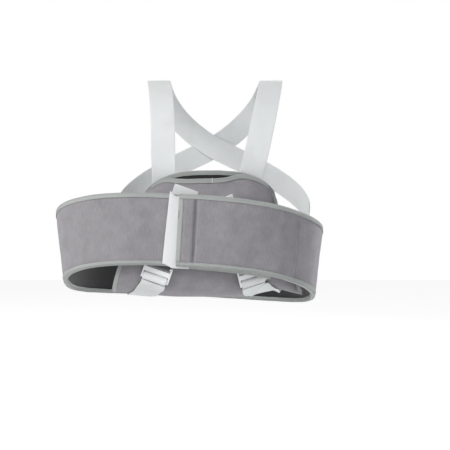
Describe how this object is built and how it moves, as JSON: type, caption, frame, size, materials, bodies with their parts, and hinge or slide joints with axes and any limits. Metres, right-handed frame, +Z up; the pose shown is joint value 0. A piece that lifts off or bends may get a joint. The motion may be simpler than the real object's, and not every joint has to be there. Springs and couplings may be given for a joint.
{
  "type": "arm sling",
  "caption": "Shoulder immobiliser: an open forearm pouch on two crossed shoulder straps, held to the body by a wide padded swathe that closes in front.",
  "frame": {"origin": "middle of the wearer's torso where the swathe goes round it", "axes": "+Z up the torso, -Y the way the wearer faces, +X towards the wearer's left"},
  "size_m": [0.4281, 0.3364, 0.3703],
  "materials": {
    "grey_laminate": "brushed knit on foam",
    "black_lining": "knit",
    "binding_tape": "woven tape",
    "webbing": "flat woven webbing",
    "hook_tape": "hook fastener tape",
    "white_plastic": "satin moulded"
  },
  "bodies": {
    "sling": {"back_elbow_binding": "binding_tape", "back_mouth_binding": "binding_tape", "front_elbow_binding": "binding_tape", "front_mouth_binding": "binding_tape", "hand_end_binding": "binding_tape", "left_buckle_chape": "grey_laminate", "left_shoulder_strap": "webbing", "mouth_bar_tack": "binding_tape", "pouch_back_lining": "black_lining", "pouch_back_panel": "grey_laminate", "pouch_front_lining": "black_lining", "pouch_front_panel": "grey_laminate", "right_buckle_chape": "grey_laminate", "right_shoulder_strap": "webbing", "swathe_body": "grey_laminate", "swathe_bottom_binding": "binding_tape", "swathe_inner_end_binding": "binding_tape", "swathe_lining": "black_lining", "swathe_top_binding": "binding_tape"},
    "flap": {"flap_bottom_binding": "binding_tape", "flap_end_binding": "binding_tape", "flap_hook_strip": "hook_tape", "flap_lining": "black_lining", "flap_panel": "grey_laminate", "flap_top_binding": "binding_tape"},
    "left_buckle": {"left_buckle_frame": "white_plastic", "left_strap_loop": "webbing"},
    "right_buckle": {"right_buckle_frame": "white_plastic", "right_strap_loop": "webbing"},
    "left_tail": {"left_strap_tail": "webbing"},
    "right_tail": {"right_strap_tail": "webbing"}
  },
  "joints": [
    {"name": "flap_open", "type": "hinge", "parent": "sling", "child": "flap", "pos_m": [0.13178, -0.15924, 0.0181], "axis": [0.0967, 0, 0.9953], "range_deg": [0, 100]},
    {"name": "left_buckle_tilt", "type": "hinge", "parent": "sling", "child": "left_buckle", "pos_m": [-0.0797, -0.1874, -0.01], "axis": [-0.9426, 0, 0.3338], "range_deg": [0, 25]},
    {"name": "right_buckle_tilt", "type": "hinge", "parent": "sling", "child": "right_buckle", "pos_m": [0.0586, -0.1768, -0.0147], "axis": [-0.9318, -0.2151, -0.2924], "range_deg": [0, 3]},
    {"name": "left_tail_slide", "type": "slide", "parent": "sling", "child": "left_tail", "axis": [0.3338, 0, 0.9426], "range_m": [0, 0.04]},
    {"name": "right_tail_slide", "type": "slide", "parent": "sling", "child": "right_tail", "axis": [-0.3842, -0.0712, 0.9205], "range_m": [0, 0.04]}
  ]
}
